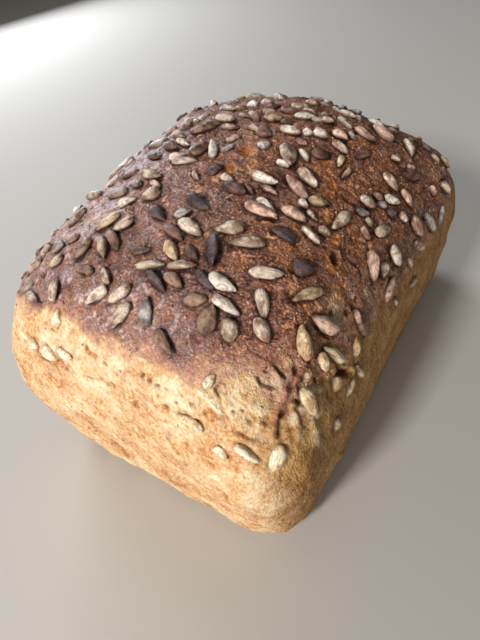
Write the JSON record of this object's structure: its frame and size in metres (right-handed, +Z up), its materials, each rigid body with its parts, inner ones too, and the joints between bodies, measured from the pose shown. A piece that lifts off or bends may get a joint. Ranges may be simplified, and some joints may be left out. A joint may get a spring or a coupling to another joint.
{
  "type": "spelt loaf",
  "caption": "Tin-baked spelt loaf: rounded rectangular base, near-upright walls that lean out a little, and a high uneven domed crust strewn with sunflower kernels.",
  "frame": {"origin": "middle of the flat base, at the bottom of the bounding box", "axes": "+Z up, +Y along the loaf's length away from the end that the picture shows, +X across it, to that end's right"},
  "size_m": [0.1416, 0.197, 0.1161],
  "materials": {
    "crust": "baked crust: dry straw to golden tan on the walls, dark red-brown with a faint sheen on top",
    "seeds": "roasted sunflower kernels: dull grey-tan with pale edges, some dark brown"
  },
  "bodies": {
    "root": {"loaf": "crust"}
  },
  "joints": []
}
